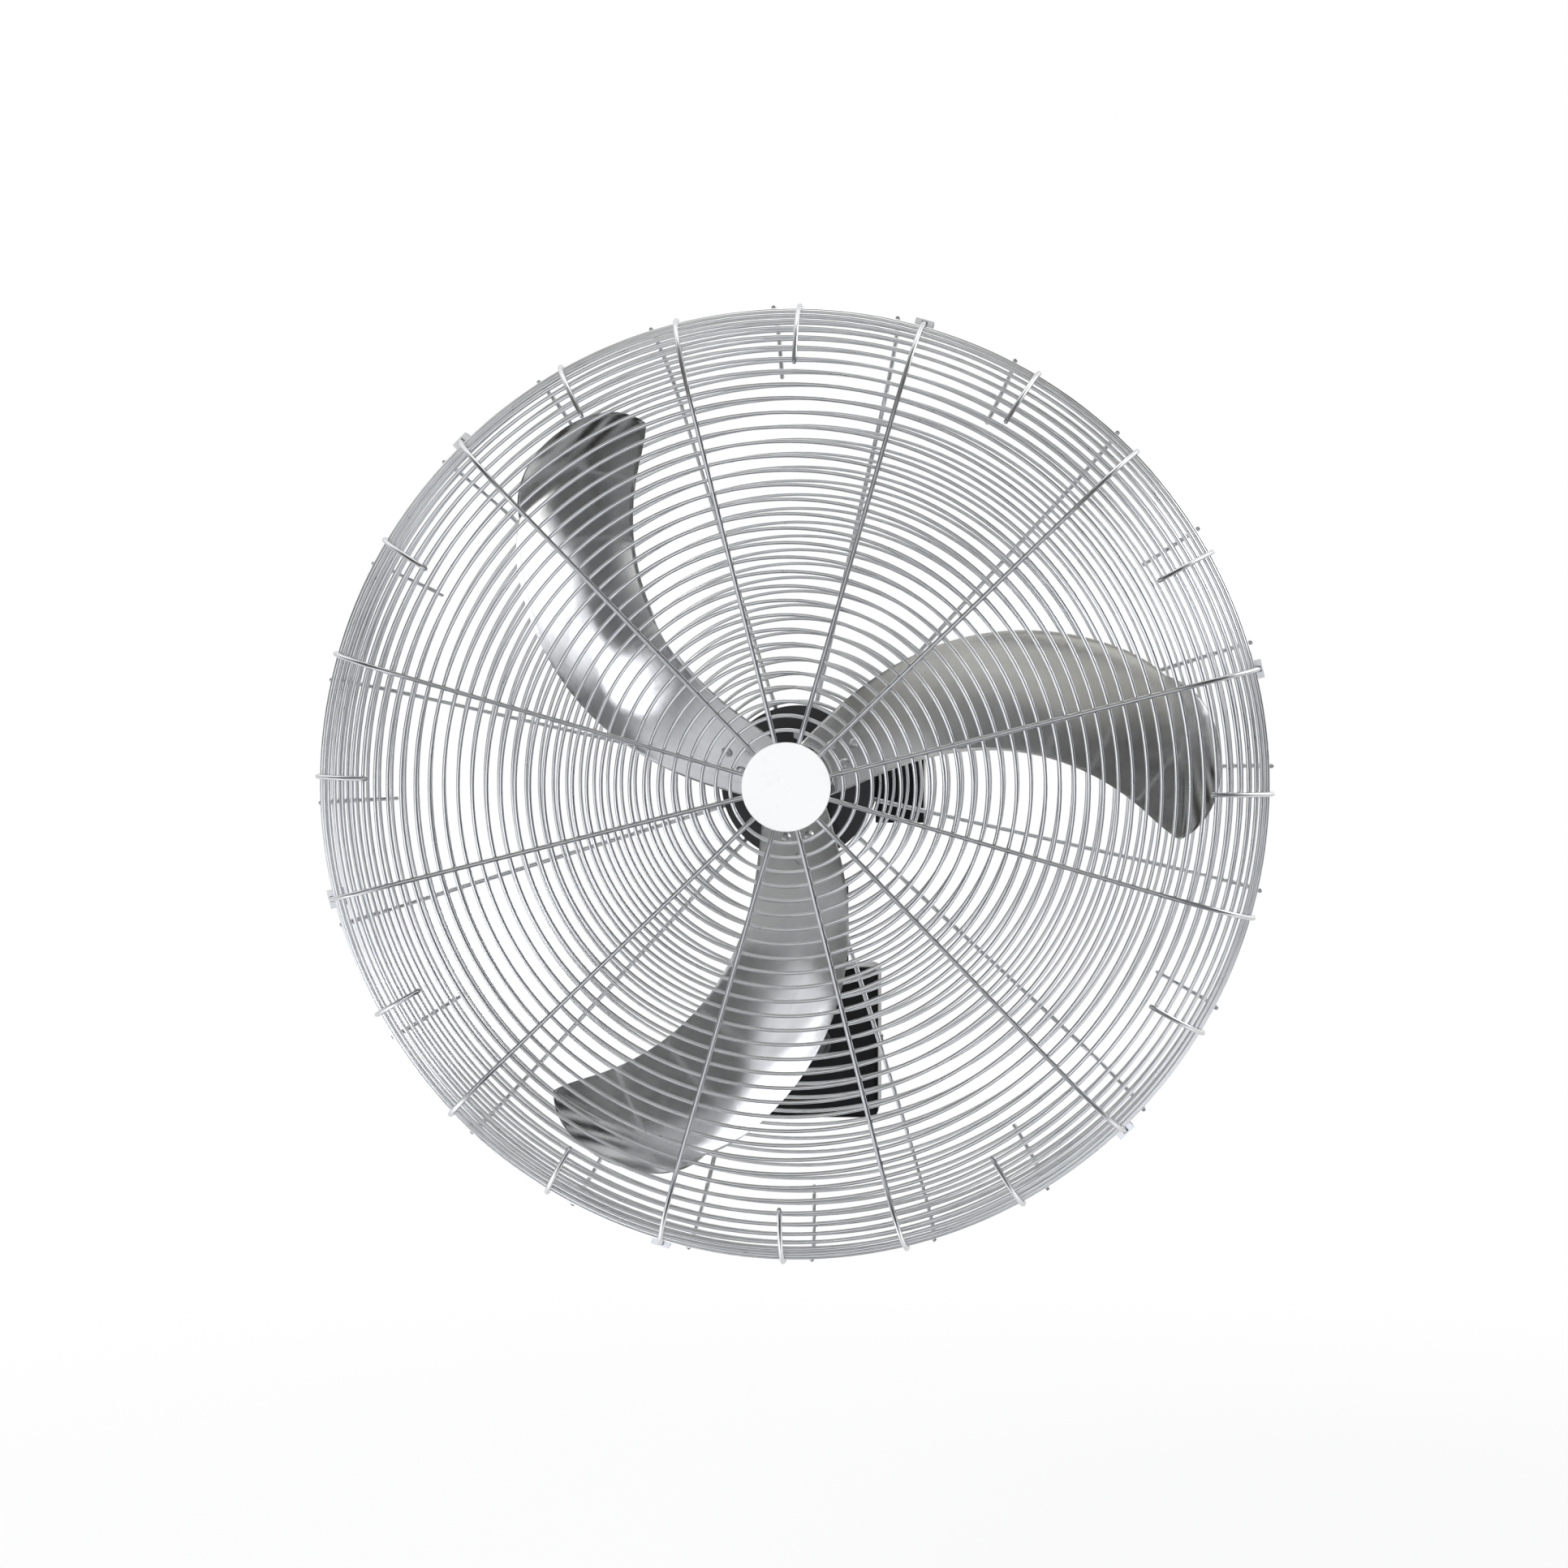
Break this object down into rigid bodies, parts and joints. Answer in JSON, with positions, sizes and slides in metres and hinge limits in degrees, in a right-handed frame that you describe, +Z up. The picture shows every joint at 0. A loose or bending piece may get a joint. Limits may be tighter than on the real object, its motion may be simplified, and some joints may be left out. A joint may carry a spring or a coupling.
{
  "type": "wall fan",
  "caption": "Industrial wall fan: round wire guard, swept metal blades, motor on a swinging gear case, and a wall bracket with a switch box.",
  "frame": {"origin": "centre of the four wall bolts, on the wall plate's back face", "axes": "+Y along the wall bolts, into the wall; +Z up; +X to the right as the fan is faced; the fan blows towards -Y"},
  "size_m": [0.8238, 0.5009, 0.8238],
  "materials": {
    "guard_wire": "bright plated wire",
    "steel": "zinc plated",
    "blade_metal": "polished sheet",
    "hub_metal": "cast, as made",
    "black_casting": "black paint, satin",
    "black_steel": "black paint, satin",
    "box_plastic": "glossy black",
    "badge_plastic": "plain white",
    "knob_plastic": "dark grey",
    "switch_plastic": "moulded",
    "terminal_plastic": "moulded",
    "lamination": "stacked sheet",
    "copper": "enamelled copper wire",
    "bronze": "sintered",
    "capacitor_can": "plain can"
  },
  "bodies": {
    "wall_bracket": {"wall_plate": "black_steel", "bracket_arm": "black_steel", "arm_rivets": "steel", "box_cover": "box_plastic", "cover_screws": "steel", "terminal_block": "terminal_plastic", "speed_switch": "switch_plastic", "switch_nut": "steel", "cable_gland": "switch_plastic", "tilt_bolt": "steel", "tilt_nut": "steel", "tilt_washers": "steel"},
    "speed_knob": {"speed_knob": "knob_plastic", "switch_stem": "steel"},
    "tilt_neck": {"neck": "black_casting", "swivel_bush": "bronze"},
    "motor_head": {"gear_case": "black_casting", "gear_case_screws": "steel", "swivel_pin": "steel", "swivel_nut": "steel", "rear_bell": "black_casting", "motor_body": "black_casting", "front_bell": "black_casting", "motor_tie_bolts": "steel", "stator_core": "lamination", "stator_windings": "copper", "rear_bearing": "steel", "front_bearing": "steel", "capacitor_box": "box_plastic", "capacitor_lid": "box_plastic", "capacitor": "capacitor_can", "lid_screws": "steel", "rear_guard_plate": "black_steel", "rear_guard_bolts": "steel", "rear_guard_spokes": "guard_wire", "rear_guard_rings": "guard_wire", "rear_skirt_rings": "guard_wire", "rear_rim_hoop": "guard_wire", "front_guard_spokes": "guard_wire", "front_guard_rings": "guard_wire", "front_skirt_rings": "guard_wire", "front_rim_hoop": "guard_wire", "guard_clips": "guard_wire", "badge_plate": "steel", "badge_bolt": "steel", "badge": "badge_plastic"},
    "clutch_knob": {"clutch_knob": "switch_plastic"},
    "fan_rotor": {"motor_shaft": "steel", "rotor_core": "lamination", "blade_hub": "hub_metal", "hub_set_screws": "steel", "hub_washer": "steel", "hub_nut": "steel", "blade_1": "blade_metal", "blade_2": "blade_metal", "blade_3": "blade_metal", "blade_rivets": "steel"}
  },
  "joints": [
    {"name": "speed_turn", "type": "hinge", "parent": "wall_bracket", "child": "speed_knob", "pos_m": [0, -0.08, 0], "axis": [0, -1, 0], "range_deg": [-135, 0]},
    {"name": "tilt", "type": "hinge", "parent": "wall_bracket", "child": "tilt_neck", "pos_m": [0, -0.175, 0.141], "axis": [1, 0, 0], "range_deg": [-10, 20]},
    {"name": "swing", "type": "hinge", "parent": "tilt_neck", "child": "motor_head", "pos_m": [0, -0.175, 0.186], "axis": [0, 0, 1], "range_deg": [-40, 40]},
    {"name": "clutch_pull", "type": "slide", "parent": "motor_head", "child": "clutch_knob", "axis": [0, 0, 1], "range_m": [0, 0.006]},
    {"name": "fan_spin", "type": "hinge", "parent": "motor_head", "child": "fan_rotor", "pos_m": [0, -0.388, 0.249], "axis": [0, -1, 0], "continuous": true}
  ]
}
